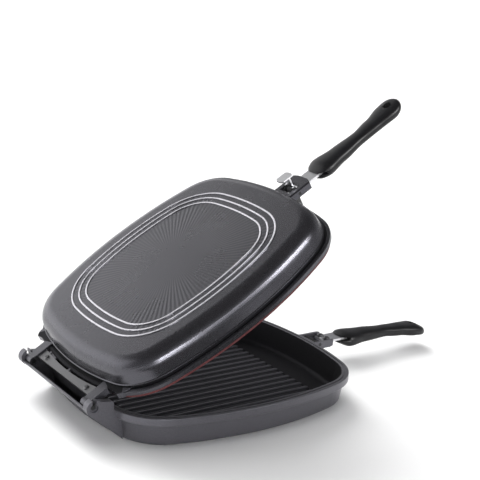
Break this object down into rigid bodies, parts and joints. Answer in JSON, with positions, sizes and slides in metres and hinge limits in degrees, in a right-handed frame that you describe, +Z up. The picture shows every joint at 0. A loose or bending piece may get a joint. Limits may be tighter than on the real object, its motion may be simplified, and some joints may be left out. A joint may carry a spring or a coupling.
{
  "type": "double sided flip pan",
  "caption": "Double sided flip pan: grill pan below, deeper ringed pan above on hook hinges, a red rim seal, contoured black handles and a sprung latch.",
  "frame": {"origin": "centre of the lower pan's flat base, on the surface it stands on", "axes": "+X from the hinge to the handles, +Y to the far side, +Z up"},
  "size_m": [0.5025, 0.266, 0.3066],
  "materials": {
    "pan_coating": "die-cast with a satin grey non-stick coating, finely speckled",
    "bar_steel": "matt zinc-plated strip",
    "steel": "satin",
    "screw_steel": "zinc-plated",
    "silicone": "matt red silicone",
    "bakelite": "moulded black phenolic with a soft sheen"
  },
  "bodies": {
    "lower": {"lower_pan": "pan_coating", "lower_tang": "steel", "lower_tang_screws": "screw_steel", "lower_tang_washers": "screw_steel", "lower_grip": "bakelite", "lower_grip_screw": "screw_steel", "lower_grip_washer": "screw_steel", "catch_pin": "steel"},
    "upper": {"upper_pan": "pan_coating", "rim_seal": "silicone", "near_hinge_pin": "steel", "far_hinge_pin": "steel", "hinge_bar": "bar_steel", "hinge_bar_screws": "screw_steel", "upper_tang": "steel", "upper_tang_screws": "screw_steel", "upper_tang_washers": "screw_steel", "upper_grip": "bakelite", "upper_grip_screw": "screw_steel", "upper_grip_washer": "screw_steel", "latch_pin": "steel", "latch_spring": "steel"},
    "latch": {"latch_lever": "steel"}
  },
  "joints": [
    {"name": "pan_hinge", "type": "hinge", "parent": "lower", "child": "upper", "pos_m": [-0.166, 0, 0.0393], "axis": [0, -1, 0], "range_deg": [-31, 64]},
    {"name": "latch_pivot", "type": "hinge", "parent": "upper", "child": "latch", "pos_m": [0.11007, 0, 0.21183], "axis": [0, -1, 0], "range_deg": [0, 12], "stiffness_Nm_per_rad": 0.05, "springref_deg": -17.19}
  ]
}
